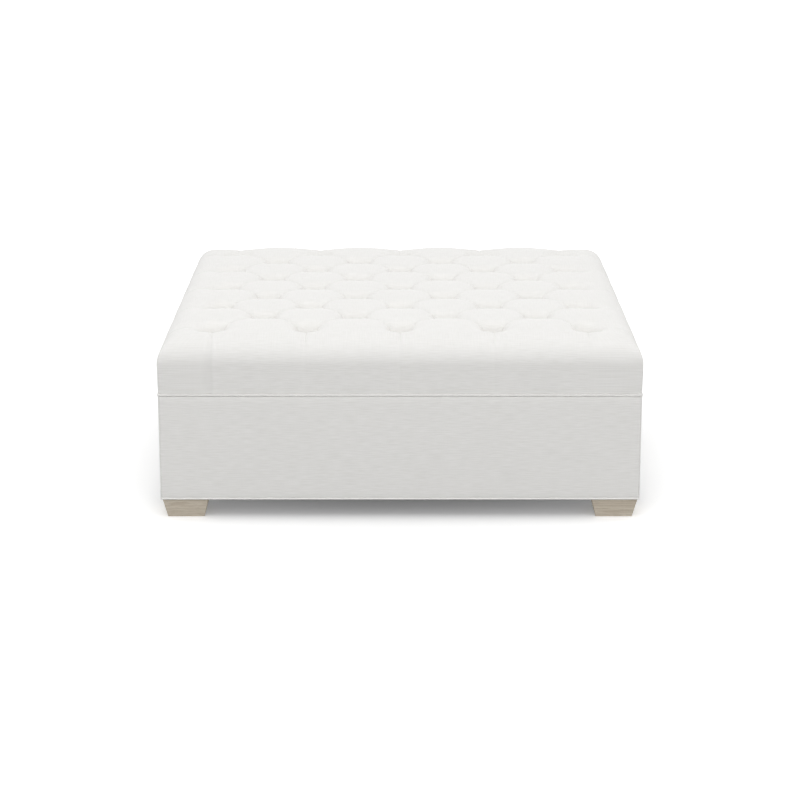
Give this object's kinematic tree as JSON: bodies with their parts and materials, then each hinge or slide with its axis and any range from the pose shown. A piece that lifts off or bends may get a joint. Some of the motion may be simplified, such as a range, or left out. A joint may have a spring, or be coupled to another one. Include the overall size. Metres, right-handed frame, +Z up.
{
  "type": "ottoman coffee table",
  "caption": "Low square upholstered ottoman used as a coffee table, with a blind-tufted diamond-pattern padded top, piped seam and hem, and tapered block feet.",
  "frame": {"origin": "on the floor, under the middle of the ottoman", "axes": "+Z up; the front, as the picture shows it, faces -Y; +X to the right seen from the front"},
  "size_m": [1.071, 1.071, 0.418],
  "materials": {
    "linen_cloth": "matt slubby off-white linen-look cloth",
    "oak": "pale greyed oak under a matt oil",
    "frame_timber": "planed hardwood",
    "plywood": "sanded plywood",
    "liner_board": "plain fibre board",
    "wadding": "bonded polyester fibre",
    "foam": "open-cell foam",
    "twine": "waxed twine",
    "dust_cloth": "black bonded cloth",
    "zinc_steel": "zinc plated"
  },
  "bodies": {
    "root": {"foot_front_right": "oak", "foot_back_right": "oak", "foot_back_left": "oak", "foot_front_left": "oak", "corner_block_front_right": "frame_timber", "corner_block_back_right": "frame_timber", "corner_block_back_left": "frame_timber", "corner_block_front_left": "frame_timber", "corner_post_front_right": "frame_timber", "corner_post_back_right": "frame_timber", "corner_post_back_left": "frame_timber", "corner_post_front_left": "frame_timber", "bottom_rail_front": "frame_timber", "bottom_rail_right": "frame_timber", "bottom_rail_back": "frame_timber", "bottom_rail_left": "frame_timber", "top_rail_front": "frame_timber", "top_rail_right": "frame_timber", "top_rail_back": "frame_timber", "top_rail_left": "frame_timber", "mid_post_front": "frame_timber", "mid_post_right": "frame_timber", "mid_post_back": "frame_timber", "mid_post_left": "frame_timber", "liner_board_front": "liner_board", "liner_board_right": "liner_board", "liner_board_back": "liner_board", "liner_board_left": "liner_board", "base_wadding_front": "wadding", "base_wadding_right": "wadding", "base_wadding_back": "wadding", "base_wadding_left": "wadding", "base_cover_front": "linen_cloth", "base_cover_right": "linen_cloth", "base_cover_back": "linen_cloth", "base_cover_left": "linen_cloth", "hanger_bolts": "zinc_steel", "deck_bearer_left": "frame_timber", "deck_bearer_right": "frame_timber", "bottom_stretcher": "frame_timber", "dust_cover": "dust_cloth", "hem_piping": "linen_cloth", "seam_piping": "linen_cloth", "deck": "plywood", "foam_core": "foam", "tufting_twines": "twine", "tuft_toggles": "frame_timber", "tufted_cover": "linen_cloth"}
  },
  "joints": []
}
